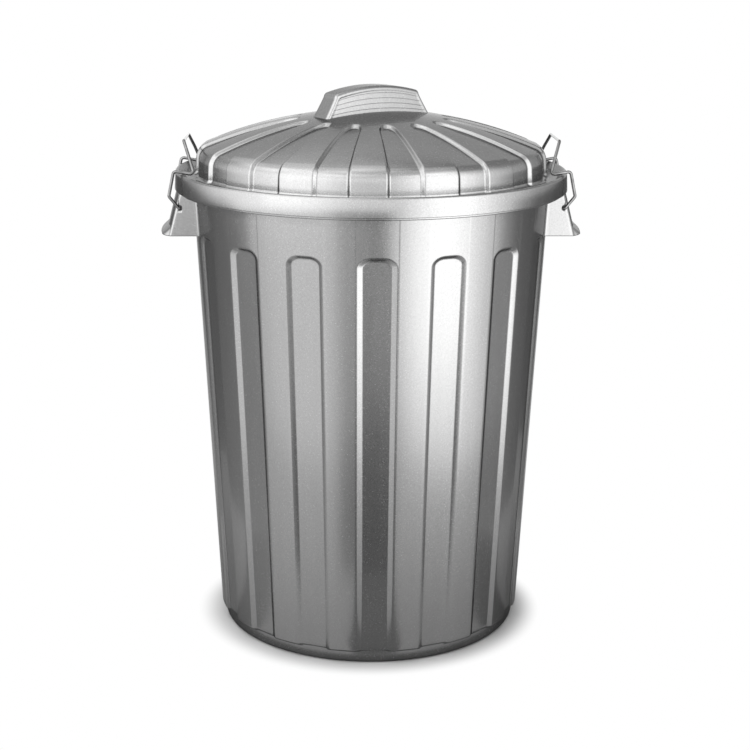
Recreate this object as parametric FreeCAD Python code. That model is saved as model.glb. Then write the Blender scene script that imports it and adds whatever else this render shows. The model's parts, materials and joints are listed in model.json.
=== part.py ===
import FreeCAD, Part
import math
import os

# Round fluted rubbish bin with a domed lid and two wire clips.
# Sizes are in millimetres and degrees. The bin stands on Z = 0 about the Z axis, with its handles on X.

# Bin wall, base and rim
land_radius_at_floor = 198.6
wall_draft = 2.85
bin_height = 589.5
bin_wall = 2.8
base_thickness = 4.0
base_edge_radius = 7.0
base_ring_height = 17.5
base_ring_setback = 0.5
rim_reach = 17.55
rim_thickness = 3.0
rim_skirt_drop = 18.0

# Flutes in the bin wall
flute_count = 16
flute_depth = 4.3
flute_floor_arc = 8.7
flute_top_margin = 70.5
flute_corner_radius = 11.5
flute_wall_slope = 25.0

# Handle lugs, moulded under the rim and open below
lug_half_width = 60.0
lug_depth = 53.95
lug_overhang = 2.0
lug_slope = 14.4
lug_wall = 2.6
lug_corner_radius = 3.0
lug_headroom = 0.75
lip_reach = 7.0
lip_slope = 45.0
lip_nose_height = 1.9
lip_nose_radius = 4.0
lip_end_inset = 5.0
lip_end_radius = 9.0

# Lid shell
lid_wall = 2.5
lid_skirt_depth = 23.5
lid_skirt_play = 2.0
lid_crown_radius = 3.0
lid_gutter_depth = 6.2
lid_gutter_width = 14.0
lid_border = 27.7
dome_height = 78.8
dome_radius = 560.0
shoulder_radius = 20.8
lid_turn = 31.0

# Flutes in the lid
lid_flute_depth = 4.0
lid_flute_arc = 10.9
lid_flute_start = 93.0
lid_flute_corner_radius = 5.0

# Grip on the lid
grip_foot_half_length = 78.0
grip_top_half_length = 63.0
grip_foot_half_width = 18.0
grip_top_half_width = 16.0
grip_rise = 32.2
grip_arch = 9.0
grip_edge_radius = 3.0
grip_panel_margin = 6.0
grip_panel_depth = 0.8

# Wire clips
wire_diameter = 4.0
clip_leg_gap = 2.0
pin_clearance = 0.06
pin_tail = 6.0
pivot_drop = 19.6
pivot_inset = 1.7
clip_swing_clearance = 0.4
clip_hook_slope = 10.3
clip_shoulder_reach = 4.6
clip_gutter_gap = 6.0
clip_elbow_reach = 13.0
clip_elbow_rise = 16.0
clip_kink_reach = 7.0
clip_kink_rise = 20.5
clip_kink_inset = 11.0
clip_loop_reach = 14.0
clip_loop_rise = 39.0
clip_loop_inset = 26.0
clip_inside_bend = 2.0
clip_pin_inside_bend = 0.6

# How far a cutting block runs past what it cuts, and the length below which an arc is left out
overrun = 2.0
shortest_arc = 1e-6

# Places that several pieces share
draft = math.radians(wall_draft)


def land_radius(height):
    """Radius of the raised lands of the bin wall at a height."""
    return land_radius_at_floor + height * math.tan(draft)


def ring_radius(height):
    """Radius of the base ring, which runs on from the flute floors."""
    return land_radius(height) - flute_depth - base_ring_setback


rim_top = bin_height
rim_radius = land_radius(rim_top) + rim_reach
rim_skirt_foot = rim_top - rim_skirt_drop
lid_seat = rim_top
lid_radius = rim_radius + lid_skirt_play + lid_wall
gutter_floor = lid_seat + lid_wall
lid_crown = gutter_floor + lid_gutter_depth
lid_skirt_foot = lid_crown - lid_skirt_depth
dome_wall_radius = lid_radius - lid_border
dome_top = gutter_floor + dome_height
lug_top = lid_skirt_foot - lug_headroom
lug_foot = lug_top - lug_depth
wire_radius = wire_diameter / 2
clip_leg = lug_half_width + clip_leg_gap + wire_radius


def lug_radius(height):
    """Outside radius of a handle lug at a height."""
    return rim_radius + lug_overhang + (lug_top - height) * math.tan(math.radians(lug_slope))


def chord(radius):
    """Distance along X at which a circle about the axis crosses the plane of a clip's leg."""
    return math.sqrt(radius ** 2 - clip_leg ** 2)


pivot_x = chord(lid_radius) - pivot_inset
pivot_height = lid_skirt_foot - pivot_drop

origin = FreeCAD.Vector(0, 0, 0)
up = FreeCAD.Vector(0, 0, 1)


def rounded_path(points, radii, closed=False):
    """Straight runs through the points, with a tangent arc of the given radius at each corner."""
    count = len(points)
    starts, ends, edges = [], [], []
    for i, corner in enumerate(points):
        is_end = not closed and i in (0, count - 1)
        if is_end or radii[i] == 0:
            starts.append(corner)
            ends.append(corner)
            continue
        back = (points[i - 1] - corner).normalize()
        ahead = (points[(i + 1) % count] - corner).normalize()
        half = back.getAngle(ahead) / 2
        starts.append(corner + back * (radii[i] / math.tan(half)))
        ends.append(corner + ahead * (radii[i] / math.tan(half)))
    for i, corner in enumerate(points):
        if (ends[i] - starts[i]).Length > shortest_arc:
            bisector = (starts[i] + ends[i]) * 0.5 - corner
            bisector.normalize()
            half = (starts[i] - corner).getAngle(ends[i] - corner) / 2
            middle = corner + bisector * (radii[i] / math.sin(half) - radii[i])
            edges.append(Part.Arc(starts[i], middle, ends[i]).toShape())
        if closed or i < count - 1:
            edges.append(Part.makeLine(ends[i], starts[(i + 1) % count]))
    return Part.Wire(edges)


def turned(profile, radii=None):
    """Solid turned about Z from (radius, height) points."""
    points = [FreeCAD.Vector(r, 0, z) for r, z in profile]
    wire = rounded_path(points, radii or [0] * len(points), closed=True)
    return Part.Face(wire).revolve(origin, up, 360)


def around(solid, count):
    """Copies of a solid, evenly spaced about Z."""
    copies = []
    for i in range(count):
        copy = solid.copy()
        copy.rotate(origin, up, i * 360 / count)
        copies.append(copy)
    return copies


def joined(solid):
    """The solid with its seams between like faces removed."""
    return solid.removeSplitter()


# Bin: flutes


def flute_block(depth, growth):
    """Block that fills a flute on +X down to a flat floor, with side and end walls that lean outward."""
    lean = 1.0 / math.tan(math.radians(flute_wall_slope))
    height = flute_depth + overrun
    floor = land_radius_at_floor - depth / math.cos(draft)
    rise = FreeCAD.Vector(math.sin(draft), 0, math.cos(draft))
    outward = FreeCAD.Vector(math.cos(draft), 0, -math.sin(draft))
    low = (base_ring_height - overrun) / math.cos(draft)
    high = (rim_top - flute_top_margin) / math.cos(draft)

    def outline(spread, level):
        def half_width(along):
            radius = land_radius_at_floor - flute_depth + along * math.sin(draft)
            return radius * math.tan(math.radians(flute_floor_arc / 2)) + spread
        place = FreeCAD.Vector(floor, 0, 0) + outward * level
        corners = [(-half_width(low), low), (half_width(low), low),
                   (half_width(high), high + spread), (-half_width(high), high + spread)]
        points = [place + FreeCAD.Vector(0, across, 0) + rise * along for across, along in corners]
        corner = flute_corner_radius + spread
        return rounded_path(points, [0, 0, corner, corner], closed=True)

    return Part.makeLoft([outline(growth, 0), outline(growth + height * lean, height)], True, True)


def bin_outside():
    """Solid within the outer faces of the bin wall, base ring and rim, with the flutes cut in."""
    rim_under = rim_top - rim_thickness
    profile = [
        (0, 0),
        (ring_radius(0), 0),
        (ring_radius(base_ring_height), base_ring_height),
        (land_radius(base_ring_height), base_ring_height),
        (land_radius(rim_under), rim_under),
        (rim_radius - rim_thickness, rim_under),
        (rim_radius - rim_thickness, rim_skirt_foot),
        (rim_radius, rim_skirt_foot),
        (rim_radius, rim_top),
        (0, rim_top),
    ]
    radii = [0, base_edge_radius, 0, 0, 0, 0, 0, 0, rim_thickness / 2, 0]
    return turned(profile, radii).cut(around(flute_block(flute_depth, 0), flute_count))


def bin_inside():
    """Solid that fills the bin, with the backs of the flutes standing into it."""
    step = base_ring_height + bin_wall
    profile = [
        (0, base_thickness),
        (ring_radius(base_thickness) - bin_wall, base_thickness),
        (ring_radius(step) - bin_wall, step),
        (land_radius(step) - bin_wall, step),
        (land_radius(rim_top + overrun) - bin_wall, rim_top + overrun),
        (0, rim_top + overrun),
    ]
    growth = bin_wall * math.tan(math.radians(flute_wall_slope / 2))
    radii = [0, base_edge_radius - bin_wall, 0, 0, 0, 0]
    return turned(profile, radii).cut(around(flute_block(flute_depth + bin_wall, growth), flute_count))


# Bin: handle lugs


def lug_sector(inset, foot, top):
    """Solid on +X from inside the bin wall out to the lug's face, set in by a wall."""
    root = ring_radius(0)
    profile = [
        (root, foot),
        (lug_radius(foot) - inset, foot),
        (lug_radius(top) - inset, top),
        (root, top),
    ]
    half = lug_half_width - inset
    slab = Part.makeBox(2 * lid_radius, 2 * half, bin_height, FreeCAD.Vector(0, -half, 0))
    return turned(profile).common(slab)


def lug_lip():
    """Finger lip along the foot of the lug's face, rounded off before the lug's corners."""
    fall = math.tan(math.radians(lip_slope))
    lip_height = (lip_reach + lip_nose_height * fall) / (fall - math.tan(math.radians(lug_slope)))
    top = lug_foot + lip_height
    nose = lug_radius(lug_foot) + lip_reach
    inner = lug_radius(top) - lug_wall
    profile = [
        (inner, lug_foot),
        (nose, lug_foot),
        (nose, lug_foot + lip_nose_height),
        (lug_radius(top), top),
        (inner, top),
    ]
    half = lug_half_width - lip_end_inset
    outer = math.sqrt(nose ** 2 - half ** 2)
    middle = FreeCAD.Vector(nose, 0, lug_foot)
    near = FreeCAD.Vector(outer, -half, lug_foot)
    far = FreeCAD.Vector(outer, half, lug_foot)
    back_near = FreeCAD.Vector(0, -half, lug_foot)
    back_far = FreeCAD.Vector(0, half, lug_foot)
    edges = [Part.Arc(near, middle, far).toShape(), Part.makeLine(far, back_far),
             Part.makeLine(back_far, back_near), Part.makeLine(back_near, near)]
    plan = Part.Face(Part.Wire(edges)).extrude(FreeCAD.Vector(0, 0, lip_height))
    ends = [e for e in plan.Edges if e.BoundBox.ZLength > lip_height / 2 and e.CenterOfMass.x > outer / 2]
    ring = turned(profile, [0, 0, lip_nose_radius, 0, 0])
    return plan.makeFillet(lip_end_radius, ends).common(ring)


def handle_lug(body):
    """Hollow lug on +X with a lip and two pin holes, cut back to the bin's outer face."""
    block = lug_sector(0, lug_foot, lug_top)
    corners = [e for e in block.Edges if e.BoundBox.ZLength > lug_depth / 2
               and e.CenterOfMass.x > chord(land_radius(rim_top))]
    block = block.makeFillet(lug_corner_radius, corners).fuse(lug_lip())
    pocket = lug_sector(lug_wall, lug_foot - overrun, lug_top - lug_wall)
    hole = Part.makeCylinder(wire_radius + pin_clearance, 2 * clip_leg,
                             FreeCAD.Vector(pivot_x, -clip_leg, pivot_height), FreeCAD.Vector(0, 1, 0))
    return block.cut([pocket, hole, body])


# Lid


def dome_profile(inset, foot):
    """Points and corner radii of the dome, wall and foot at a distance inside the outer face."""
    ball = dome_radius - inset
    wall = dome_wall_radius - inset
    round_off = shoulder_radius - inset
    centre = dome_top - dome_radius
    shoulder_x = wall - round_off
    shoulder_z = centre + math.sqrt((ball - round_off) ** 2 - shoulder_x ** 2)
    touch = math.atan2(shoulder_x, shoulder_z - centre)

    def on_ball(angle):
        return FreeCAD.Vector(ball * math.sin(angle), 0, centre + ball * math.cos(angle))

    def on_shoulder(angle):
        return FreeCAD.Vector(shoulder_x + round_off * math.sin(angle), 0,
                              shoulder_z + round_off * math.cos(angle))

    half = (touch + math.pi / 2) / 2
    edges = [
        Part.Arc(on_ball(0), on_ball(touch / 2), on_ball(touch)).toShape(),
        Part.Arc(on_ball(touch), on_shoulder(half), on_shoulder(math.pi / 2)).toShape(),
        Part.makeLine(on_shoulder(math.pi / 2), FreeCAD.Vector(wall, 0, foot)),
        Part.makeLine(FreeCAD.Vector(wall, 0, foot), FreeCAD.Vector(0, 0, foot)),
        Part.makeLine(FreeCAD.Vector(0, 0, foot), on_ball(0)),
    ]
    return Part.Face(Part.Wire(edges)).revolve(origin, up, 360)


def lid_flute_prism(growth, foot):
    """Upright prism over one flute of the lid on +X, wider by a growth on each side."""
    half = math.radians(lid_flute_arc / 2)
    start = lid_flute_start - growth
    far = dome_wall_radius + overrun
    points = [
        FreeCAD.Vector(start, -start * math.tan(half) - growth, foot),
        FreeCAD.Vector(far, -far * math.tan(half) - growth, foot),
        FreeCAD.Vector(far, far * math.tan(half) + growth, foot),
        FreeCAD.Vector(start, start * math.tan(half) + growth, foot),
    ]
    corner = lid_flute_corner_radius
    wire = rounded_path(points, [corner, 0, 0, corner], closed=True)
    return Part.Face(wire).extrude(FreeCAD.Vector(0, 0, dome_height + overrun))


def fluted_dome(inset, foot, growth):
    """Dome solid at a distance inside the outer face, with the flutes sunk all round."""
    dome = dome_profile(inset, foot)
    flute_floors = dome_profile(inset + lid_flute_depth, foot - overrun)
    flute = lid_flute_prism(growth, max(foot, lid_seat)).cut(flute_floors)
    return dome.cut(around(flute, flute_count))


def lid_rim():
    """Gutter, crown and skirt of the lid, as a turned section of even thickness."""
    gutter_outer = dome_wall_radius + lid_gutter_width
    skirt_inner = lid_radius - lid_wall
    inner = dome_wall_radius - lid_flute_depth - lid_wall
    profile = [
        (inner, lid_seat),
        (gutter_outer, lid_seat),
        (lid_radius - lid_crown_radius - lid_wall, lid_crown - lid_wall),
        (skirt_inner, lid_crown - lid_wall),
        (skirt_inner, lid_skirt_foot),
        (lid_radius, lid_skirt_foot),
        (lid_radius, lid_crown),
        (lid_radius - lid_crown_radius - lid_wall, lid_crown),
        (gutter_outer, gutter_floor),
        (inner, gutter_floor),
    ]
    radii = [0, lid_wall, lid_wall, 0, 0, lid_wall / 3, lid_crown_radius, lid_wall, lid_wall, 0]
    return turned(profile, radii)


def grip_block(inset):
    """Grip along X on top of the dome: ends that lean in, an arched top and a slight draft."""
    foot = gutter_floor
    shoulder = dome_top + grip_rise - grip_arch
    lean = (grip_foot_half_length - grip_top_half_length) / (shoulder - dome_top)
    foot_length = grip_top_half_length + lean * (shoulder - foot) - inset
    top_length = grip_top_half_length - inset
    slope = (grip_foot_half_width - grip_top_half_width) / grip_rise
    foot_width = grip_foot_half_width + slope * (dome_top - foot) - inset
    top_width = grip_top_half_width - inset
    ceiling = dome_top + grip_rise

    def side(length, height):
        return FreeCAD.Vector(length, -grip_foot_half_length, height)

    edges = [
        Part.makeLine(side(-foot_length, foot), side(-top_length, shoulder - inset)),
        Part.Arc(side(-top_length, shoulder - inset), side(0, ceiling - inset),
                 side(top_length, shoulder - inset)).toShape(),
        Part.makeLine(side(top_length, shoulder - inset), side(foot_length, foot)),
        Part.makeLine(side(foot_length, foot), side(-foot_length, foot)),
    ]
    front = Part.Face(Part.Wire(edges)).extrude(FreeCAD.Vector(0, 2 * grip_foot_half_length, 0))
    ends = [(-foot_width, foot), (foot_width, foot), (top_width, ceiling), (-top_width, ceiling)]
    points = [FreeCAD.Vector(-2 * grip_foot_half_length, y, z) for y, z in ends]
    section = Part.Face(Part.makePolygon(points + points[:1]))
    return front.common(section.extrude(FreeCAD.Vector(4 * grip_foot_half_length, 0, 0)))


def grip_outside():
    """Grip block with rounded edges and a shallow sunk panel on both long faces."""
    block = grip_block(0)
    rounded = [e for e in block.Edges if e.CenterOfMass.z > gutter_floor + overrun]
    plain = block.makeFillet(grip_edge_radius, rounded)
    core = grip_block(grip_panel_depth)
    window = grip_block(grip_panel_margin)
    window = window.fuse(window.translated(FreeCAD.Vector(0, 2 * grip_panel_margin, 0)))
    window = window.fuse(window.translated(FreeCAD.Vector(0, -2 * grip_panel_margin, 0)))
    return plain.cut(window.cut(core))


def make_lid():
    """Lid shell in one piece: fluted dome, rim and hollow grip."""
    outside = fluted_dome(0, gutter_floor, 0).fuse([lid_rim(), grip_outside()])
    below = lid_seat - overrun
    mouth = Part.makeCylinder(dome_wall_radius - lid_flute_depth - lid_wall, overrun,
                              FreeCAD.Vector(0, 0, below))
    inside = fluted_dome(lid_wall, below, lid_wall).fuse([grip_block(lid_wall), mouth])
    lid = joined(outside.cut(inside))
    lid.rotate(origin, up, lid_turn)
    return lid


# Clips


def make_clip():
    """Bent wire bail on +X: pins in the lug, legs over the lid's rim and a finger loop above."""
    crown_x = chord(lid_radius - lid_crown_radius)
    crown_rise = lid_crown - lid_crown_radius - pivot_height
    crown_reach = math.hypot(crown_x - pivot_x, crown_rise) + lid_crown_radius
    slope = math.radians(clip_hook_slope)
    hook = (crown_reach + wire_radius + clip_swing_clearance) / math.cos(slope)

    def hook_height(x):
        return pivot_height + hook + (x - pivot_x) * math.tan(slope)

    shoulder_x = chord(lid_radius) + clip_shoulder_reach
    gutter_x = chord(dome_wall_radius) + clip_gutter_gap + wire_radius
    gutter_z = hook_height(gutter_x)
    leg = [
        (pivot_x, lug_half_width - lug_wall - pin_tail, pivot_height),
        (pivot_x, clip_leg, pivot_height),
        (pivot_x + clip_elbow_reach, clip_leg, pivot_height + clip_elbow_rise),
        (shoulder_x, clip_leg, hook_height(shoulder_x)),
        (gutter_x, clip_leg, gutter_z),
        (gutter_x + clip_kink_reach, clip_leg - clip_kink_inset, gutter_z + clip_kink_rise),
        (gutter_x + clip_loop_reach, clip_leg - clip_loop_inset, gutter_z + clip_loop_rise),
    ]
    near = [FreeCAD.Vector(x, -y, z) for x, y, z in leg]
    far = [FreeCAD.Vector(x, y, z) for x, y, z in reversed(leg)]
    bend = wire_radius + clip_inside_bend
    bends = [0, wire_radius + clip_pin_inside_bend] + [bend] * (len(leg) - 2)
    path = rounded_path(near + far, bends + bends[::-1])
    section = Part.Wire(Part.makeCircle(wire_radius, near[0], FreeCAD.Vector(0, -1, 0)))
    return path.makePipeShell([section], True, False)


# Put together

body_block = bin_outside()
lug = handle_lug(body_block)
opposite_lug = lug.copy()
opposite_lug.rotate(origin, up, 180)
bin_body = joined(body_block.fuse([lug, opposite_lug]).cut(bin_inside()))
lid = make_lid()
clip_right = make_clip()
clip_left = clip_right.copy()
clip_left.rotate(origin, up, 180)

os.makedirs("parts", exist_ok=True)
pieces = {"bin_body": bin_body, "lid": lid, "clip_left": clip_left, "clip_right": clip_right}
for name, shape in pieces.items():
    solid = shape.Solids[0] if len(shape.Solids) == 1 else shape
    solid.exportStep("parts/" + name + ".step")
    print(name, len(shape.Solids), "solid", shape.isValid(), round(shape.Volume / 1000, 1), "cm3")
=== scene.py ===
import json
import math
import bmesh
import bpy
import numpy as np
from mathutils import Matrix, Vector


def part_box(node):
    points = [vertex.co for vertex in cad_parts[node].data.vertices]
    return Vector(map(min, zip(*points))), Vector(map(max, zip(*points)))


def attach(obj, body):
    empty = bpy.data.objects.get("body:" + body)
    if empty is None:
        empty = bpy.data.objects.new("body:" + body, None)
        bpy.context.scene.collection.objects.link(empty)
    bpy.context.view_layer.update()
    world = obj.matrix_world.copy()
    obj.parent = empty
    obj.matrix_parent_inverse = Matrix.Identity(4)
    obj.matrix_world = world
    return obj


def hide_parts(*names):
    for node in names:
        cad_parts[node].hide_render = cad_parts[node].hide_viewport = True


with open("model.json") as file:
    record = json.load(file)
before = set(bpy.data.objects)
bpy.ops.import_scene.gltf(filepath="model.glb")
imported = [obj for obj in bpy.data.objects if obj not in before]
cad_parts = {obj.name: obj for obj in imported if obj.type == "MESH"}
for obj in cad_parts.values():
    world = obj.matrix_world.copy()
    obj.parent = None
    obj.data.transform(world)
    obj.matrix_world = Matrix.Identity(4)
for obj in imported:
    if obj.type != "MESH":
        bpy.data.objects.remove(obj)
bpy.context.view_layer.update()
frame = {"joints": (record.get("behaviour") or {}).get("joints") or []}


# Bin wall
# The can is one injection moulding in silver plastic, 2.8 mm thick: a drafted wall with sixteen sunk
# flutes, a base ring set in below them, and a rim that turns outward and down inside the lid's skirt.
rim_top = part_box("bin_body")[1].z
land_radius_at_floor = 0.1986
wall_fall = math.tan(math.radians(2.85))
bin_wall = 0.0028
base_thickness = 0.004
base_edge_radius = 0.007
base_ring_height = 0.0175
base_ring_setback = 0.0005
base_step_round = 0.0018
rim_reach = 0.01755
rim_thickness = 0.003
rim_under_round = 0.002
rim_skirt_foot = rim_top - 0.018
flute_count = 16
flute_depth = 0.0043
flute_floor_half_angle = math.radians(4.35)
flute_floor_top = rim_top - 0.0705
flute_corner_radius = 0.0115
flute_wall_run = 0.0078
flute_end_run = 0.0056
flute_wall_rounding = 0.17
witness_depth = 0.00012
witness_run = 0.0014
witness_rounding = 0.4
rim_radius = land_radius_at_floor + rim_top * wall_fall + rim_reach


def eased(share, rounding):
    """From 0 to 1 along a straight slope whose two ends are rounded off over a share of the way."""
    t = np.clip(share, 0.0, 1.0)
    bend = 2 * rounding * (1 - rounding)
    slope = (t - rounding / 2) / (1 - rounding)
    return np.where(t < rounding, t ** 2 / bend, np.where(t > 1 - rounding, 1 - (1 - t) ** 2 / bend, slope))


def beyond_outline(across, half_width, along_end, corner):
    """Distance outside a strip whose end is rounded; along_end runs positive past the strip's end."""
    side = np.abs(across) - half_width
    a = np.maximum(side + corner, 0.0)
    b = np.maximum(along_end + corner, 0.0)
    return np.where(along_end < -corner, side, np.where(side < -corner, along_end, np.hypot(a, b) - corner))


def fan_of_columns(zones, count, turn=0.0):
    """Angles of mesh columns all round, and each one's offset from the middle of its flute.

    The zones lie outward from a flute's middle and say, in degrees, where each ends and its step.
    """
    right = np.zeros(1)
    for end, step in zones:
        steps = round((end - right[-1]) / step)
        right = np.append(right, np.linspace(right[-1], end, steps + 1)[1:])
    offsets = np.concatenate([-right[:0:-1], right[:-1]])
    middles = np.arange(count) * 360.0 / count + turn
    return np.radians((middles[:, None] + offsets[None, :]).ravel()), np.tile(np.radians(offsets), count)


def arc(centre, radius, start, end, steps):
    """Points along an arc in a plane, with its angles in degrees from the first axis towards the second."""
    angles = np.radians(np.linspace(start, end, steps + 1))
    return [(centre[0] + radius * math.cos(a), centre[1] + radius * math.sin(a)) for a in angles]


def ring(angles, radius, height):
    """One ring of a turned mesh; its radius and height are one number for all columns or one for each."""
    radius = np.broadcast_to(radius, angles.shape)
    height = np.broadcast_to(height, angles.shape)
    return np.stack([radius * np.cos(angles), radius * np.sin(angles), height], axis=-1)


def skin(name, rows, wrap=True, close_rows=False, first_pole=None, last_pole=None):
    """Object whose mesh is a net of quads over rows of points, with a fan of triangles at each pole."""
    rows = np.asarray(rows, float)
    row_count, column_count = rows.shape[:2]
    points = rows.reshape(-1, 3).tolist()
    index = np.arange(row_count * column_count).reshape(row_count, column_count)
    low, high = (index, np.roll(index, -1, axis=0)) if close_rows else (index[:-1], index[1:])
    if wrap:
        low_next, high_next = np.roll(low, -1, axis=1), np.roll(high, -1, axis=1)
    else:
        low, low_next, high, high_next = low[:, :-1], low[:, 1:], high[:, :-1], high[:, 1:]
    faces = np.stack([low, low_next, high_next, high], axis=-1).reshape(-1, 4).tolist()
    for pole, around in ((first_pole, index[0, ::-1]), (last_pole, index[-1])):
        if pole is not None:
            points.append(list(pole))
            faces += [[len(points) - 1, int(a), int(b)] for a, b in zip(around, np.roll(around, -1))]
    if close_rows and not wrap:
        faces += [index[:, 0].tolist(), index[::-1, -1].tolist()]
    mesh = bpy.data.meshes.new(name)
    mesh.from_pydata(points, [], faces)
    mesh.shade_smooth()
    mesh.update()
    obj = bpy.data.objects.new(name, mesh)
    bpy.context.scene.collection.objects.link(obj)
    return obj


def land_radius(height):
    """Radius of the plain wall between the flutes."""
    return land_radius_at_floor + height * wall_fall


def ring_radius(height):
    """Radius of the base ring, just inside the floors of the flutes."""
    return land_radius(height) - flute_depth - base_ring_setback


# The mesh has close columns only on the flutes' side walls.
half_pitch = 180.0 / flute_count
bin_zones = [(1.2, 1.2), (4.2, 0.43), (7.0, 0.2), (half_pitch, 1.1)]
bin_angles, bin_offsets = fan_of_columns(bin_zones, flute_count)


def wall_radius(height):
    """Radius of the fluted wall at each column: lands on a cone, flutes down to flat floors."""
    land = land_radius(height)
    floor = (land - flute_depth) / np.cos(bin_offsets)
    half_width = land * flute_floor_half_angle
    across = land * bin_offsets
    past_end = (height - flute_floor_top) * flute_wall_run / flute_end_run
    outside = beyond_outline(across, half_width, past_end, flute_corner_radius)
    sunk = 1 - eased(outside / flute_wall_run, flute_wall_rounding)
    past_wall = np.abs(across) - half_width - flute_wall_run
    witness = witness_depth * (1 - eased(past_wall / witness_run, witness_rounding))
    return np.minimum(land - sunk * (land - floor), land - witness)


def bin_row(radius, height):
    """Level row of the can's mesh."""
    return ring(bin_angles, radius, height)


def bin_arc(centre, radius, start, end, steps):
    """Rows of the can's mesh round an arc of its section."""
    return [bin_row(r, z) for r, z in arc(centre, radius, start, end, steps)]


# Heights of the wall's rows, which are close only over the round top ends of the flutes.
wall_foot = base_ring_height + base_step_round
first_rises = (0.0004, 0.004)
plain_wall_low = wall_foot + 0.012
flute_end_low = flute_floor_top - 0.019
flute_end_high = flute_floor_top + 0.009
plain_wall_high = flute_end_low - 0.001
top_band_low = flute_end_high + 0.005
top_band_high = rim_top - 0.0055
flute_heights = np.concatenate([
    [wall_foot + rise for rise in first_rises],
    np.linspace(plain_wall_low, plain_wall_high, 5),
    np.linspace(flute_end_low, flute_end_high, 28),
    np.linspace(top_band_low, top_band_high, 3),
])

# Up the outside, from the middle of the base over its ring and the step above it to the rim.
base_middle = 0.03
base_flat = ring_radius(0) - base_edge_radius
base_edge = (ring_radius(base_edge_radius) - base_edge_radius, base_edge_radius)
ring_low = base_edge_radius + 0.003
step_drop = 0.0006
bin_rows = [bin_row(r, 0.0) for r in np.linspace(base_middle, base_flat, 3)]
bin_rows += bin_arc(base_edge, base_edge_radius, -80, 0, 6)
bin_rows += [bin_row(ring_radius(z), z) for z in np.linspace(ring_low, base_ring_height - step_drop, 5)]
step_wall = wall_radius(base_ring_height)
step_floor = ring_radius(base_ring_height)
for turn in np.radians(np.linspace(-90, 0, 5)):
    step_radius = np.maximum(step_wall + base_step_round * (math.cos(turn) - 1), step_floor)
    bin_rows.append(bin_row(step_radius, base_ring_height + base_step_round * (1 + math.sin(turn))))
bin_rows += [bin_row(wall_radius(z), z) for z in flute_heights]

# Round the rim: out under it, down its short skirt, up to its top and over into the mouth.
bead = rim_thickness / 2
rim_under = rim_top - rim_thickness
rim_inner = rim_radius - rim_thickness
under_level = rim_under - rim_under_round
mouth = land_radius(rim_top) - bin_wall
bin_rows += bin_arc((land_radius(rim_under) + rim_under_round, under_level), rim_under_round, 180, 90, 4)
bin_rows += bin_arc((rim_inner - rim_under_round, under_level), rim_under_round, 90, 0, 4)
bin_rows += bin_arc((rim_inner + bead, rim_skirt_foot + bead), bead, 180, 360, 8)
bin_rows += bin_arc((rim_radius - bead, rim_top - bead), bead, 0, 90, 5)
bin_rows += bin_arc((mouth + bead, rim_top - bead), bead, 90, 180, 5)

# Down the inside, which follows the outside at an even wall and makes do with half the rows.
inner_step = base_ring_height + bin_wall
inner_round = base_edge_radius - bin_wall
inner_edge_height = base_thickness + inner_round
inner_edge = ring_radius(inner_edge_height) - bin_wall - inner_round
inner_flat = inner_edge - 0.02
bin_rows += [bin_row(wall_radius(z) - bin_wall, z) for z in flute_heights[::-2]]
bin_rows.append(bin_row(wall_radius(inner_step) - bin_wall, inner_step))
bin_rows.append(bin_row(ring_radius(inner_step) - bin_wall, inner_step - step_drop))
bin_rows += bin_arc((inner_edge, inner_edge_height), inner_round, 0, -90, 5)
bin_rows += [bin_row(r, base_thickness) for r in (inner_flat, base_middle)]
bin_can = skin("bin_can", bin_rows, first_pole=(0, 0, 0), last_pole=(0, 0, base_thickness))


def node_adder(tree):
    """Function that adds a node to a tree and sets or links its inputs."""
    def add(kind, inputs=None, **settings):
        node = tree.nodes.new(kind)
        for key, value in settings.items():
            setattr(node, key, value)
        for key, value in (inputs or {}).items():
            if isinstance(value, bpy.types.NodeSocket):
                tree.links.new(value, node.inputs[key])
            else:
                node.inputs[key].default_value = value
        return node

    return add


def new_material(name):
    """New material and its shader."""
    material = bpy.data.materials.new(name)
    material.use_nodes = True
    return material, material.node_tree.nodes["Principled BSDF"]


def noise(add, place, scale, detail):
    """Level of a noise, finer as its scale grows."""
    return add("ShaderNodeTexNoise", {"Vector": place, "Scale": scale, "Detail": detail}).outputs["Fac"]


def spread(add, level, level_range, to_range):
    """A level, stretched from its own range to another."""
    own_ends = {"From Min": level_range[0], "From Max": level_range[1]}
    to_ends = {"To Min": to_range[0], "To Max": to_range[1]}
    return add("ShaderNodeMapRange", {"Value": level, **own_ends, **to_ends}).outputs["Result"]


def grey_of(add, level):
    """Grey of a level, as a colour."""
    return add("ShaderNodeCombineColor", {channel: level for channel in range(3)}).outputs["Color"]


silver_tones = (0.268, 0.332)
silver_roughness = (0.22, 0.28)
silver_tint = (0.3, 0.3, 0.3, 1)
flow_stretch = (90.0, 90.0, 5.0)
streak_share = 0.35


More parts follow.
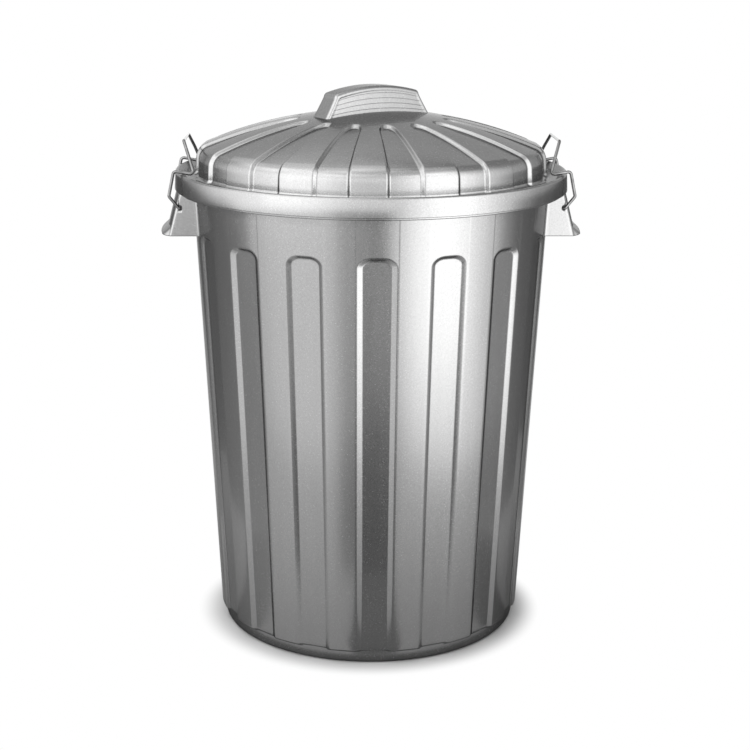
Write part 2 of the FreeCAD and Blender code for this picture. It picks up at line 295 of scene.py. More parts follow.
def silver_plastic():
    """Moulded plastic full of fine aluminium flake: a satin metal look, cloudy where the melt flowed."""
    material, surface = new_material("silver_plastic")
    add = node_adder(material.node_tree)
    link = material.node_tree.links.new
    place = add("ShaderNodeTexCoord").outputs["Object"]
    flake = noise(add, place, scale=1100.0, detail=2.0)
    clouds = noise(add, place, scale=480.0, detail=2.0)
    drawn = add("ShaderNodeMapping", {"Vector": place, "Scale": flow_stretch}).outputs["Vector"]
    streaks = noise(add, drawn, scale=1.0, detail=3.0)
    flow = add("ShaderNodeMath", {0: streaks, 1: streak_share, 2: clouds}, operation="MULTIPLY_ADD")
    mixed = add("ShaderNodeMath", {0: flow.outputs[0], 1: flake}, operation="ADD").outputs[0]
    mixed_range = (0.8, 1.55)
    link(grey_of(add, spread(add, mixed, mixed_range, silver_tones)), surface.inputs["Base Color"])
    link(spread(add, mixed, mixed_range, silver_roughness), surface.inputs["Roughness"])
    peel = noise(add, place, scale=260.0, detail=2.0)
    bump = add("ShaderNodeBump", {"Height": peel, "Strength": 0.18, "Distance": 0.00004})
    link(bump.outputs["Normal"], surface.inputs["Normal"])
    surface.inputs["Metallic"].default_value = 0.95
    surface.inputs["Specular Tint"].default_value = silver_tint
    surface.inputs["Coat Weight"].default_value = 0.15
    surface.inputs["Coat Roughness"].default_value = 0.06
    return material


silver = silver_plastic()


def finish_piece(obj, material, slot, body, *nodes):
    """Gives a piece its material and its place in the frame."""
    obj.data.materials.append(material)
    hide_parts(*nodes)
    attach(obj, body)


finish_piece(bin_can, silver, "silver_plastic", "bin", "bin_body")


# Handle lugs
# Two hollow lugs of the same moulding grow out of the wall under the rim, open below for the fingers.
# Each has a flaring lip along its foot and a countersunk hole through either side wall for the clip's pin.
lug_half_width = 0.060
lug_top = rim_top - 0.01555
lug_foot = lug_top - 0.05395
lug_overhang = 0.002
lug_fall = math.tan(math.radians(14.4))
lug_wall = 0.0026
lug_corner = 0.0032
lug_least_corner = 0.0004
lug_root_round = 0.0035
lug_top_round = 0.0009
lip_reach = 0.007
lip_height = 0.012
lip_flat = 0.0019
lip_rounding = 0.16
lip_full_half = 0.046
lip_end_half = 0.0575
wire_radius = 0.002
pin_clearance = 0.00015
pin_hole_radius = wire_radius + pin_clearance
countersink = 0.0003
pivot_right = next(j for j in frame["joints"] if j["name"] == "clip_right_swing")["pos_m"]
both_sides = (("right", 0.0), ("left", math.pi))


def lug_radius(height):
    """Radius of the lug's face, which leans out towards its foot."""
    return rim_radius + lug_overhang + (lug_top - height) * lug_fall


def lug_outline(height, inset, lip):
    """Half outline of the lug at a height, from the middle of its face round to the bin wall."""
    face = lug_radius(height) - inset
    half = lug_half_width - inset
    corner = max(lug_corner - inset, lug_least_corner)
    root = lug_root_round + inset
    wall = land_radius(height)
    fade_in = eased((lip_height - (height - lug_foot)) / (lip_height - lip_flat), lip_rounding)
    swell = lip * lip_reach * float(fade_in)
    along = np.linspace(0, half - corner, 34)
    past = np.clip((along - lip_full_half) / (lip_end_half - lip_full_half), 0, 1)
    reach = face + swell * np.sqrt(1 - past ** 2)
    points = [(math.sqrt(r ** 2 - y ** 2), y) for r, y in zip(reach, along)]
    corner_x = math.sqrt((face - corner) ** 2 - (half - corner) ** 2)
    corner_start = math.degrees(math.atan2(half - corner, corner_x))
    points += arc((corner_x, half - corner), corner, corner_start, 90, 8)[1:]
    root_x = math.sqrt((wall + root) ** 2 - (half + root) ** 2)
    points += [(x, half) for x in np.linspace(corner_x, root_x, 12)[1:-1]]
    root_end = math.degrees(math.atan2(half + root, root_x)) - 180
    points += arc((root_x, half + root), root, -90, root_end, 8)
    inward = 1 - bin_wall / 2 / wall
    points.append((points[-1][0] * inward, points[-1][1] * inward))
    return points


def lug_row(height, inset, lip=0.0):
    """Row of the lug's mesh, with the lip at a share of its full reach."""
    half = lug_outline(height, inset, lip)
    whole = [(x, -y) for x, y in half[:0:-1]] + half
    return [(x, y, height) for x, y in whole]


# Over the top, down the outside, round the foot and up the inside.
top_insets = (0.006, 0.003)
ceiling_insets = (0.004, 0.006)
lug_ceiling = lug_top - lug_wall
foot_round = lug_wall / 2
foot_level = lug_foot + foot_round
lip_top = lug_foot + lip_height
face_low = lip_top + 0.002
face_high = lug_top - 0.004
lug_rows = [lug_row(lug_top, inset) for inset in top_insets]
for a in np.radians(np.linspace(90, 0, 5)):
    edge_height = lug_top - lug_top_round * (1 - math.sin(a))
    lug_rows.append(lug_row(edge_height, lug_top_round * (1 - math.cos(a))))
lug_rows += [lug_row(z, 0.0, lip=1.0) for z in np.linspace(face_high, face_low, 8)]
lug_rows += [lug_row(z, 0.0, lip=1.0) for z in np.linspace(lip_top, foot_level, 14)]
for a in np.radians(np.linspace(0, 180, 13)[1:-1]):
    foot_height = foot_level - foot_round * math.sin(a)
    lug_rows.append(lug_row(foot_height, foot_round * (1 - math.cos(a)), lip=0.5 * (1 + math.cos(a))))
lug_rows += [lug_row(z, lug_wall) for z in np.linspace(foot_level, lug_ceiling, 6)]
lug_rows += [lug_row(lug_ceiling, inset) for inset in ceiling_insets]


def turned_solid(name, profile, start, axis, sides=32):
    """Closed solid of revolution from (distance along the axis, radius) points."""
    axis = Vector(axis).normalized()
    across = axis.orthogonal().normalized()
    third = axis.cross(across)
    angles = np.linspace(0, 2 * math.pi, sides, endpoint=False)
    rings = []
    for along, radius in profile:
        centre = Vector(start) + axis * along
        rings.append([centre + (across * math.cos(a) + third * math.sin(a)) * radius for a in angles])
    ends = [Vector(start) + axis * profile[0][0], Vector(start) + axis * profile[-1][0]]
    return skin(name, rings, first_pole=ends[0], last_pole=ends[1])


def cut_away(obj, cutter):
    """Takes a closed cutter out of a piece and deletes the cutter."""
    tool = obj.modifiers.new("cut", "BOOLEAN")
    tool.operation = "DIFFERENCE"
    tool.solver = "EXACT"
    tool.object = cutter
    bpy.context.view_layer.update()
    cut_mesh = bpy.data.meshes.new_from_object(obj.evaluated_get(bpy.context.evaluated_depsgraph_get()))
    obj.modifiers.clear()
    obj.data = cut_mesh
    bpy.data.objects.remove(cutter)


drill_lead = 0.001
drill_length = 0.008
drill = [
    (0, pin_hole_radius + countersink + drill_lead),
    (drill_lead, pin_hole_radius + countersink),
    (drill_lead + countersink, pin_hole_radius),
    (drill_length, pin_hole_radius),
]
for side, turn in both_sides:
    lug = skin("handle_lug_" + side, lug_rows, wrap=False, close_rows=True)
    for end in (-1, 1):
        start = (pivot_right[0], end * (lug_half_width + drill_lead), pivot_right[2])
        cut_away(lug, turned_solid("pin_hole", drill, start, axis=(0, -end, 0)))
    lug.data.transform(Matrix.Rotation(turn, 4, "Z"))
    finish_piece(lug, silver, "silver_plastic", "bin", "bin_body")


# Lid shell
# The lid is a second moulding of the same plastic, 2.5 mm thick: a low dome with sixteen flutes that run
# from near the grip over its shoulder, a gutter at its foot, and a crown and skirt over the can's rim.
lid_wall = 0.0025
lid_clearance = 0.002
lid_radius = rim_radius + lid_clearance + lid_wall
lid_border = 0.0277
lid_draft = math.radians(3.0)
gutter_floor = rim_top + lid_wall
gutter_width = 0.014
lid_crown = gutter_floor + 0.0062
crown_radius = 0.003
skirt_foot = lid_crown - 0.0235
skirt_edge = 0.001
skirt_inner_round = 0.0006
dome_wall_radius = lid_radius - lid_border
dome_top = gutter_floor + 0.0788
dome_radius = 0.560
shoulder_radius = 0.0208
dome_foot_round = 0.0045
lid_turn = 31.0
lid_flute_depth = 0.004
lid_flute_half_angle = math.radians(4.5)
lid_flute_wall_angle = math.radians(1.55)
lid_flute_start = 0.0975
lid_flute_end_run = 0.0075
lid_flute_corner_share = 2.3
lid_flute_rounding = 0.42
dome_centre = dome_top - dome_radius
shoulder_r = dome_wall_radius - shoulder_radius
shoulder_z = dome_centre + math.sqrt((dome_radius - shoulder_radius) ** 2 - shoulder_r ** 2)
shoulder_start = math.atan2(shoulder_r, shoulder_z - dome_centre)
lid_zones = [(2.0, 1.0), (4.4, 0.48), (6.2, 0.15), (half_pitch, 1.25)]
lid_angles, lid_offsets = fan_of_columns(lid_zones, flute_count, lid_turn)
hairline = 1e-6


def dome_stations():
    """Stations down the dome: radius, height, slope from level and distance from the apex.

    They are close only over the round inner ends of the flutes, on the shoulder and at the foot.
    """
    middle = 0.02 / dome_radius
    start = lid_flute_start / dome_radius
    bend_from = start - 0.022
    bend_to = start + 0.022
    gap_before = 0.002
    gap_after = 0.008
    slopes = np.concatenate([
        np.linspace(middle, bend_from, 4),
        np.linspace(bend_from + gap_before, bend_to, 24),
        np.linspace(bend_to + gap_after, shoulder_start, 8),
    ])
    down = [(dome_radius * math.sin(a), dome_centre + dome_radius * math.cos(a), a, dome_radius * a)
            for a in slopes]
    run = dome_radius * shoulder_start
    wall_slope = math.pi / 2 - lid_draft
    for a in np.linspace(shoulder_start, wall_slope, 15)[1:]:
        r = shoulder_r + shoulder_radius * math.sin(a)
        z = shoulder_z + shoulder_radius * math.cos(a)
        down.append((r, z, a, run + shoulder_radius * (a - shoulder_start)))
    wall_r, wall_z, _, run = down[-1]
    foot_turns = np.linspace(0, math.pi / 2, 8)
    foot_heights = gutter_floor + dome_foot_round * (1 - np.sin(foot_turns))
    wall_heights = np.linspace(wall_z, foot_heights[0], 5)[1:-1]
    heights = np.concatenate([wall_heights, foot_heights])
    flares = np.concatenate([np.zeros(wall_heights.shape), dome_foot_round * (1 - np.cos(foot_turns))])
    for z, flare in zip(heights, flares):
        lean = (wall_z - z) * math.tan(lid_draft)
        down.append((wall_r + lean + flare, z, wall_slope, run + wall_z - z))
    return down


def dome_row(station, inset):
    """Row of the dome or its wall, sunk along its own normal where a flute runs."""
    r, z, slope, along = station
    begin = dome_radius * math.asin(lid_flute_start / dome_radius)
    before_start = (begin - along) / lid_flute_end_run
    across = lid_offsets / lid_flute_wall_angle
    half_width = lid_flute_half_angle / lid_flute_wall_angle
    outside = beyond_outline(across, half_width, before_start, lid_flute_corner_share)
    sunk = inset + lid_flute_depth * (1 - eased(outside, lid_flute_rounding))
    return ring(lid_angles, r - sunk * math.sin(slope), z - sunk * math.cos(slope))


def rounded_line(points, radii, steps):
    """Line through the points, with each inner corner rounded to its radius."""
    line = [Vector(points[0])]
    for before, corner, after, radius in zip(points, points[1:], points[2:], radii):
        tip = Vector(corner)
        back = (Vector(before) - tip).normalized()
        ahead = (Vector(after) - tip).normalized()
        half = back.angle(ahead) / 2
        centre = tip + (back + ahead).normalized() * radius / math.sin(half)
        first = (tip + back * radius / math.tan(half) - centre).normalized()
        last = (tip + ahead * radius / math.tan(half) - centre).normalized()
        line += [centre + first.slerp(last, t) * radius for t in np.linspace(0, 1, steps + 1)]
    return line + [Vector(points[-1])]


# Down the dome, along the gutter, over the crown and the skirt, and back along the underside.
stations = dome_stations()
gutter_inner = stations[-1][0] + 0.0004
gutter_outer = dome_wall_radius + gutter_width
crown_inner = lid_radius - crown_radius - lid_wall
crown_under = lid_crown - lid_wall
skirt_inner = lid_radius - lid_wall
skirt_lean = (lid_crown - skirt_foot) * math.tan(lid_draft)
border_corners = [
    (gutter_inner, gutter_floor),
    (gutter_outer, gutter_floor),
    (crown_inner, lid_crown),
    (lid_radius - skirt_lean, lid_crown),
    (lid_radius, skirt_foot),
    (skirt_inner, skirt_foot),
    (skirt_inner - skirt_lean, crown_under),
    (crown_inner, crown_under),
    (gutter_outer, rim_top),
    (dome_wall_radius - lid_wall, rim_top),
]
border_rounds = [
    lid_wall,
    lid_wall,
    crown_radius,
    skirt_edge,
    skirt_edge,
    skirt_inner_round,
    lid_wall,
    lid_wall,
]
inside_stations = [s for s in stations if s[1] > gutter_floor + dome_foot_round - hairline]
lid_rows = [dome_row(s, 0.0) for s in stations]
lid_rows += [ring(lid_angles, r, z) for r, z in rounded_line(border_corners, border_rounds, steps=4)]
lid_rows += [dome_row(s, lid_wall) for s in inside_stations[::-2]]
lid_poles = [(0, 0, dome_top - lid_wall), (0, 0, dome_top)]
lid_shell = skin("lid_shell", lid_rows[::-1], first_pole=lid_poles[0], last_pole=lid_poles[1])
finish_piece(lid_shell, silver, "silver_plastic", "lid", "lid")


# Grip
# The grip is moulded with the lid; the real one is hollow, and here it is a closed solid bar with leaning
# ends and an arched top.
# Each long face has a sunk panel crossed by four fine grooves that follow the arch, so that fingers hold.
grip_foot_half_length = 0.078
grip_top_half_length = 0.063
grip_foot_half_width = 0.018
grip_top_half_width = 0.016
grip_top = dome_top + 0.0322
grip_arch = 0.009
grip_edge = 0.0045
grip_sink = 0.0015
panel_margin = 0.0055
panel_depth = 0.0005
panel_edge = 0.0012
panel_edge_rounding = 0.3
panel_top_fade = 0.003
panel_top_rounding = 0.5
groove_shares = (0.19, 0.41, 0.63, 0.85)
groove_depth = 0.00018
groove_width = 0.0008
arch_radius = (grip_top_half_length ** 2 + grip_arch ** 2) / (2 * grip_arch)


def grip_columns():
    """Columns round the bar: shares of its straight half length and half width, and the way out from it."""
    columns = []
    for face in range(4):
        ahead = (math.cos(face * math.pi / 2), math.sin(face * math.pi / 2))
        left = (-ahead[1], ahead[0])
        long_face = face % 2 == 1
        steps = np.linspace(-1, 1, 61 if long_face else 13)[1:-1]
        columns += [(ahead[0] + left[0] * s, ahead[1] + left[1] * s, *ahead) for s in steps]
        for a in np.radians(np.linspace(0, 90, 7)):
            columns.append((ahead[0] + left[0], ahead[1] + left[1],
                            ahead[0] * math.cos(a) + left[0] * math.sin(a),
                            ahead[1] * math.cos(a) + left[1] * math.sin(a)))
    return np.array(columns).T


share_x, share_y, normal_x, normal_y = grip_columns()
on_long_face = np.abs(normal_y) > 0.999


def arch_height(x):
    """Height of the bar's arched top."""
    return grip_top - (arch_radius - np.sqrt(arch_radius ** 2 - x ** 2))


def panel_sinking(share, from_end, tall):
    """Depth of the sunk panel and its grooves at a share of the bar's height."""
    within = eased((from_end - panel_margin) / panel_edge, panel_edge_rounding)
    within = within * eased((1 - share) * tall / panel_top_fade, panel_top_rounding)
    depth = panel_depth
    for groove in groove_shares:
        depth = depth + groove_depth * np.exp(-((share - groove) * tall / (groove_width / 2)) ** 2)
    return within * depth


def grip_row(share, inset=0.0, rise=0.0, shrink=0.0):
    """Row of the bar at a share of its height.

    An inset and a rise take it over the top edge, and shrinking closes the bar's top and foot.
    """
    length = grip_foot_half_length + share * (grip_top_half_length - grip_foot_half_length) - grip_edge
    width = grip_foot_half_width + share * (grip_top_half_width - grip_foot_half_width) - grip_edge
    outward = grip_edge - inset
    x = share_x * (length - shrink) + normal_x * outward
    y = share_y * (width - shrink) + normal_y * outward
    foot = dome_centre + np.sqrt(dome_radius ** 2 - x ** 2 - y ** 2) - grip_sink
    top = arch_height(x)
    z = foot + share * (top - grip_edge - foot) + rise
    if inset == 0.0:
        from_end = length + grip_edge - np.abs(x)
        y = y - np.sign(y) * on_long_face * panel_sinking(share, from_end, top - foot)
    cosine = math.cos(math.radians(lid_turn))
    sine = math.sin(math.radians(lid_turn))
    return np.stack([x * cosine - y * sine, x * sine + y * cosine, z], axis=-1)


# The rows are close beside each groove.
groove_steps = np.linspace(-0.04, 0.04, 13)
grip_shares = np.concatenate([np.linspace(0, 1, 33)] + [groove + groove_steps for groove in groove_shares])
foot_shrinks = np.linspace(grip_foot_half_width - grip_edge, 0.0, 4)
top_shrinks = np.linspace(0.0, grip_top_half_width - grip_edge, 4)[1:]
grip_rows = [grip_row(0.0, inset=grip_edge, shrink=shrink) for shrink in foot_shrinks]
grip_rows += [grip_row(share) for share in np.unique(grip_shares.round(4))]
for a in np.radians(np.linspace(0, 90, 9)[1:]):
    grip_rows.append(grip_row(1.0, inset=grip_edge * (1 - math.cos(a)), rise=grip_edge * math.sin(a)))
grip_rows += [grip_row(1.0, inset=grip_edge, rise=grip_edge, shrink=shrink) for shrink in top_shrinks]
grip = skin("lid_grip", grip_rows)
welded = bmesh.new()
welded.from_mesh(grip.data)
bmesh.ops.remove_doubles(welded, verts=welded.verts, dist=hairline)
bmesh.ops.recalc_face_normals(welded, faces=welded.faces)
welded.to_mesh(grip.data)
welded.free()
finish_piece(grip, silver, "silver_plastic", "lid", "lid")


# Wire clips
# Each clip is one length of drawn 4 mm spring steel wire, cold bent: two pins in the lug's holes, two legs
# up the outside of the lid's skirt, a hook over its crown into the gutter, and a finger loop above.
clip_leg = 0.064
pin_inner = 0.0514
pin_bend = 0.0026
wire_bend = 0.004
knee_out = 0.013
knee_rise = 0.016
hook_fall = math.tan(math.radians(10.3))
hook_clearance = 0.0004
shoulder_clearance = 0.0046
gutter_clearance = 0.006
loop_waist = Vector((0.007, -0.011, 0.0205))
loop_tip = Vector((0.014, -0.026, 0.039))
pivot_x, _, pivot_z = pivot_right
crown_x = math.sqrt((lid_radius - crown_radius) ** 2 - clip_leg ** 2)
crown_reach = math.hypot(crown_x - pivot_x, lid_crown - crown_radius - pivot_z) + crown_radius
hook_rise = (crown_reach + wire_radius + hook_clearance) * math.hypot(1, hook_fall)
shoulder_x = math.sqrt(lid_radius ** 2 - clip_leg ** 2) + shoulder_clearance
gutter_x = math.sqrt(dome_wall_radius ** 2 - clip_leg ** 2) + gutter_clearance + wire_radius


def hook_height(x):
    """Height of the hook's sloping run over the crown."""
    return pivot_z + hook_rise + (x - pivot_x) * hook_fall


hook_end = Vector((gutter_x, clip_leg, hook_height(gutter_x)))
leg = [
    Vector((pivot_x, pin_inner, pivot_z)),
    Vector((pivot_x, clip_leg, pivot_z)),
    Vector((pivot_x + knee_out, clip_leg, pivot_z + knee_rise)),
    Vector((shoulder_x, clip_leg, hook_height(shoulder_x))),
    hook_end,
    hook_end + loop_waist,
    hook_end + loop_tip,
]
leg_bends = [pin_bend] + [wire_bend] * (len(leg) - 2)
clip_points = [Vector((x, -y, z)) for x, y, z in leg] + leg[::-1]
clip_line = rounded_line(clip_points, leg_bends + leg_bends[::-1], steps=9)


def wire(name, line, radius, sides=24):
    """Round wire along a line, with its cut ends rounded over."""
    first = (line[1] - line[0]).normalized()
    last = (line[-1] - line[-2]).normalized()
    bulge = radius * 0.5
    end_turns = (0.6, 1.1, 1.5)
    spots = [(line[0] - first * bulge * math.sin(a), radius * math.cos(a)) for a in end_turns[::-1]]
    spots += [(point, radius) for point in line]
    spots += [(line[-1] + last * bulge * math.sin(a), radius * math.cos(a)) for a in end_turns]
    side = first.orthogonal().normalized()
    angles = np.linspace(0, 2 * math.pi, sides, endpoint=False)
    rings = []
    for i, (point, size) in enumerate(spots):
        ahead = (spots[min(i + 1, len(spots) - 1)][0] - spots[max(i - 1, 0)][0]).normalized()
        side = (side - ahead * side.dot(ahead)).normalized()
        up = ahead.cross(side)
        rings.append([point + (side * math.cos(a) + up * math.sin(a)) * size for a in angles])
    return skin(name, rings, first_pole=spots[0][0], last_pole=spots[-1][0])


wire_tones = (0.13, 0.21)
wire_roughness = (0.04, 0.09)


def bright_wire():
    """Drawn steel wire with a hard shine: fine marks from the drawing and small dull scuffs."""
    material, surface = new_material("bright_wire")
    add = node_adder(material.node_tree)
    link = material.node_tree.links.new
    place = add("ShaderNodeTexCoord").outputs["Object"]
    marks = noise(add, place, scale=700.0, detail=3.0)
    scuffs = noise(add, place, scale=90.0, detail=5.0)
    scuff_range = (0.35, 0.65)
    link(grey_of(add, spread(add, scuffs, scuff_range, wire_tones)), surface.inputs["Base Color"])
    link(spread(add, scuffs, scuff_range, wire_roughness), surface.inputs["Roughness"])
    bump = add("ShaderNodeBump", {"Height": marks, "Strength": 0.2, "Distance": 0.00005})
    link(bump.outputs["Normal"], surface.inputs["Normal"])
    surface.inputs["Metallic"].default_value = 1.0
    return material


steel = bright_wire()
for side, turn in both_sides:
    clip = wire("wire_clip_" + side, clip_line, wire_radius)
    clip.data.transform(Matrix.Rotation(turn, 4, "Z"))
    finish_piece(clip, steel, "clip_wire", "clip_" + side, "clip_" + side)


# Floor
# A plain white studio floor. Near the can only the lamps light it, so that the shadow under the can stays.
# Further off it is pure white: to the eye from close by the can, and in reflections from further out.
floor_half = 30.0
floor_white = 0.66
plain_within = 0.196
white_beyond = 0.234
mirror_plain_within = 0.25
mirror_white_beyond = 0.75


def flat_sheet(name, corners, height):
    """Level sheet with the given corners (x, y)."""
    mesh = bpy.data.meshes.new(name)
    mesh.from_pydata([(x, y, height) for x, y in corners], [], [range(len(corners))])
    obj = bpy.data.objects.new(name, mesh)
    bpy.context.scene.collection.objects.link(obj)
    return obj


def matt(name, grey):
    """New matt material of one plain grey."""
    material, surface = new_material(name)
    surface.inputs["Base Color"].default_value = (grey, grey, grey, 1)
    surface.inputs["Roughness"].default_value = 0.9
    surface.inputs["Specular IOR Level"].default_value = 0.0
    return material


def white_floor():
    """Matt white that turns to pure white away from the can."""
    material = matt("white_floor", floor_white)
    nodes = material.node_tree.nodes
    add = node_adder(material.node_tree)
    place = add("ShaderNodeTexCoord").outputs["Object"]
    from_can = add("ShaderNodeVectorMath", {0: place}, operation="LENGTH").outputs["Value"]

    def far(start, end):
        ends = {"Value": from_can, "From Min": start, "From Max": end}
        return add("ShaderNodeMapRange", ends, interpolation_type="SMOOTHSTEP").outputs["Result"]

    seen = far(plain_within, white_beyond)
    mirrored = far(mirror_plain_within, mirror_white_beyond)
    ray = add("ShaderNodeLightPath").outputs
    mirror_rays = {0: ray["Is Glossy Ray"], 1: ray["Is Transmission Ray"]}
    in_mirror = add("ShaderNodeMath", mirror_rays, operation="MAXIMUM").outputs[0]
    mirror_share = add("ShaderNodeMath", {0: in_mirror, 1: mirrored}, operation="MULTIPLY").outputs[0]
    shares = {0: ray["Is Camera Ray"], 1: seen, 2: mirror_share}
    share = add("ShaderNodeMath", shares, operation="MULTIPLY_ADD").outputs[0]
    lit = nodes["Principled BSDF"].outputs[0]
    white = add("ShaderNodeEmission").outputs[0]
    mixed = add("ShaderNodeMixShader", {0: share, 1: lit, 2: white}).outputs[0]
    material.node_tree.links.new(mixed, nodes["Material Output"].inputs["Surface"])
    return material


floor_corners = [(-floor_half, -floor_half), (floor_half, -floor_half), (floor_half, floor_half),
                 (-floor_half, floor_half)]
floor = flat_sheet("floor", floor_corners, 0.0)
floor.data.materials.append(white_floor())


# Light
# Soft studio light: two broad boxes on the left, two on the right, one behind the camera, two overhead, one
# behind the can, and a backdrop that is white low down. Three of the near boxes show only in reflections.
# So do the grey cards that lie on the floor, from the can's foot to past the picture's edges.
near_distance = 0.75
lid_middle = (0, 0, 0.6)
card_height = 0.001
# Radius of the painted shadow card: a dark ring round the can's foot that stands in for the shade under it.
contact_shadow_card_radius = 0.212
studio_level = 0.5
backdrop_white_to = math.sin(math.radians(18))
backdrop_dim_from = math.sin(math.radians(34))


def softbox(name, place, aim, width, height, radiance, side_fade, low_fade, high_fade):
    """Soft box at a place, aimed at a point, whose light dies away over shares of its width and height."""
    light = bpy.data.lights.new(name, "AREA")
    light.shape = "RECTANGLE"
    light.size = width
    light.size_y = height
    light.energy = math.pi * width * height * radiance
    light.use_nodes = True
    add = node_adder(light.node_tree)
    spot = add("ShaderNodeSeparateXYZ", {0: add("ShaderNodeNewGeometry").outputs["Parametric"]}).outputs
    from_side = add("ShaderNodeMath", {0: spot["X"], 1: 0.5}, operation="PINGPONG").outputs[0]
    level = add("ShaderNodeMapRange", {"Value": from_side, "From Max": side_fade},
                interpolation_type="SMOOTHSTEP").outputs["Result"]
    for edge, inner in ((0.0, low_fade), (1.0, 1.0 - high_fade)):
        fade = add("ShaderNodeMapRange", {"Value": spot["Y"], "From Min": edge, "From Max": inner},
                   interpolation_type="SMOOTHSTEP").outputs["Result"]
        level = add("ShaderNodeMath", {0: level, 1: fade}, operation="MULTIPLY").outputs[0]
    light.node_tree.links.new(level, light.node_tree.nodes["Emission"].inputs["Strength"])
    obj = bpy.data.objects.new(name, light)
    obj.location = place
    obj.rotation_euler = (Vector(aim) - Vector(place)).to_track_quat("-Z", "Y").to_euler()
    obj.visible_camera = False
    bpy.context.scene.collection.objects.link(obj)
    return obj


def standing_box(name, azimuth, distance, low, high, width, radiance, side_fade,
                 low_fade=0.02, high_fade=0.02):
    """Upright soft box that faces the can, its azimuth counted from the viewer's side to the right."""
    a = math.radians(azimuth)
    middle = (low + high) / 2
    place = (distance * math.sin(a), -distance * math.cos(a), middle)
    return softbox(name, place, (0, 0, middle), width, high - low, radiance, side_fade, low_fade, high_fade)


left_box = standing_box("left_box", azimuth=-62, distance=near_distance, low=0.44, high=1.64, width=1.95,
                        radiance=1.24, side_fade=0.4, low_fade=0.03, high_fade=0.16)
standing_box("left_wash", azimuth=-37, distance=near_distance, low=0.0, high=1.6, width=2.15,
             radiance=0.62, side_fade=0.48, low_fade=0.04)
standing_box("front_box", azimuth=-27, distance=2.4, low=0.2, high=3.2, width=3.95,
             radiance=0.68, side_fade=0.1, low_fade=0.1)
right_box = standing_box("right_box", azimuth=47, distance=near_distance, low=0.0, high=1.46, width=1.8,
                         radiance=1.2, side_fade=0.48, high_fade=0.2)
right_core = standing_box("right_core", azimuth=36, distance=near_distance, low=0.0, high=1.16, width=0.97,
                          radiance=1.52, side_fade=0.45, low_fade=0.25)
standing_box("back_box", azimuth=180, distance=2.6, low=0.44, high=3.6, width=3.65,
             radiance=0.56, side_fade=0.05)
softbox("top_box", place=(-0.58, 0.14, 1.9), aim=lid_middle, width=2.4, height=2.4,
        radiance=1.2, side_fade=0.27, low_fade=0.27, high_fade=0.27)
softbox("over_box", place=(0.12, -0.67, 1.8), aim=lid_middle, width=1.95, height=1.37,
        radiance=0.72, side_fade=0.05, low_fade=0.05, high_fade=0.05)
for box in (left_box, right_box, right_core):
    box.visible_diffuse = False


def grey_card(name, grey, corners):
    """Grey card just above the floor that only reflections see."""
    card = flat_sheet(name, corners, card_height)
    card.data.materials.append(matt(name, grey))
    card.visible_camera = False
    card.visible_diffuse = False
    card.visible_shadow = False


grey_card("front_card", 0.36, [(-1.94, -4.5), (-0.2, -4.5), (-0.05, -0.43), (-0.14, -0.43)])
grey_card("camera_card", 0.1, [(-0.2, -4.5), (0.78, -4.5), (0.07, -0.43), (-0.05, -0.43)])
grey_card("near_card", 0.26, [(-0.06, -0.43), (0.08, -0.43), (0.055, -0.25), (0.038, -0.213),
                              (-0.032, -0.213), (-0.05, -0.25)])
grey_card("near_left_card", 0.38, [(-0.49, -0.175), (-0.18, -0.13), (-0.208, -0.05), (-0.49, -0.06)])
grey_card("near_right_card", 0.26, [(0.18, -0.13), (0.49, -0.175), (0.49, -0.06), (0.208, -0.05)])
# Painted shadow: a dark round card under the can's foot, so that reflections show the contact shade there.
grey_card("contact_shadow_card", 0.22, arc((0, 0), contact_shadow_card_radius, 0, 360, 60)[:-1])
grey_card("left_card", 0.45, [(-8, -0.7), (-0.49, -0.18), (-2.31, 8), (-8, 8)])
grey_card("right_card", 0.45, [(0.49, -0.18), (8, -0.7), (8, 8), (2.31, 8)])


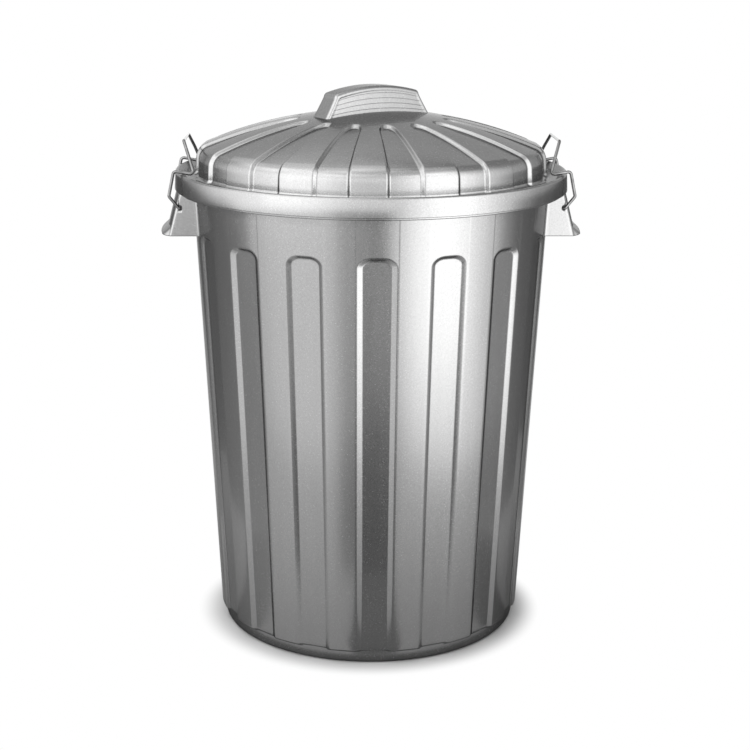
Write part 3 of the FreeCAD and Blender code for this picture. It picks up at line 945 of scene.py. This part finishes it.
def studio_world():
    """Even dim light all round; to the eye and in reflections it is white low down and dim above."""
    world = bpy.data.worlds.new("studio")
    world.use_nodes = True
    add = node_adder(world.node_tree)
    towards = add("ShaderNodeSeparateXYZ", {0: add("ShaderNodeTexCoord").outputs["Generated"]}).outputs
    rise = {"From Min": backdrop_white_to, "From Max": backdrop_dim_from}
    levels = {"To Min": 1.0, "To Max": studio_level}
    backdrop = add("ShaderNodeMapRange", {"Value": towards["Z"], **rise, **levels},
                   interpolation_type="SMOOTHSTEP")
    ray = add("ShaderNodeLightPath").outputs
    seen_rays = {0: ray["Is Camera Ray"], 1: ray["Is Glossy Ray"]}
    seen = add("ShaderNodeMath", seen_rays, operation="MAXIMUM").outputs[0]
    seen_rays = {0: seen, 1: ray["Is Transmission Ray"]}
    seen = add("ShaderNodeMath", seen_rays, operation="MAXIMUM").outputs[0]
    strengths = {"To Min": studio_level, "To Max": backdrop.outputs["Result"]}
    strength = add("ShaderNodeMapRange", {"Value": seen, **strengths})
    background = world.node_tree.nodes["Background"]
    background.inputs["Color"].default_value = (1, 1, 1, 1)
    world.node_tree.links.new(strength.outputs["Result"], background.inputs["Strength"])
    return world


bpy.context.scene.world = studio_world()


# Camera
# It stands a little above the lid and looks down at the can, as the photograph does.
# Its place, turn and lens come from a perspective fit to the can's rim, base and sides.
camera_azimuth = math.radians(-2.0)
camera_distance = 2.0967
camera_height = 0.8919
pitch = 0.2647
yaw = math.radians(0.177)
roll = 0.0063
camera_data = bpy.data.cameras.new("camera")
camera_data.sensor_width = 36.0
camera_data.lens = 78.9
camera = bpy.data.objects.new("camera", camera_data)
heading = camera_azimuth - yaw
level_forward = Vector((-math.sin(heading), math.cos(heading), 0))
forward = level_forward * math.cos(pitch) - Vector((0, 0, math.sin(pitch)))
level_right = forward.cross(Vector((0, 0, 1))).normalized()
upright = level_right.cross(forward)
right = level_right * math.cos(roll) + upright * math.sin(roll)
up = upright * math.cos(roll) - level_right * math.sin(roll)
camera.matrix_world = Matrix((
    (right.x, up.x, -forward.x, camera_distance * math.sin(camera_azimuth)),
    (right.y, up.y, -forward.y, -camera_distance * math.cos(camera_azimuth)),
    (right.z, up.z, -forward.z, camera_height),
    (0, 0, 0, 1),
))
bpy.context.scene.collection.objects.link(camera)
bpy.context.scene.camera = camera
bpy.context.scene.view_settings.view_transform = "Standard"
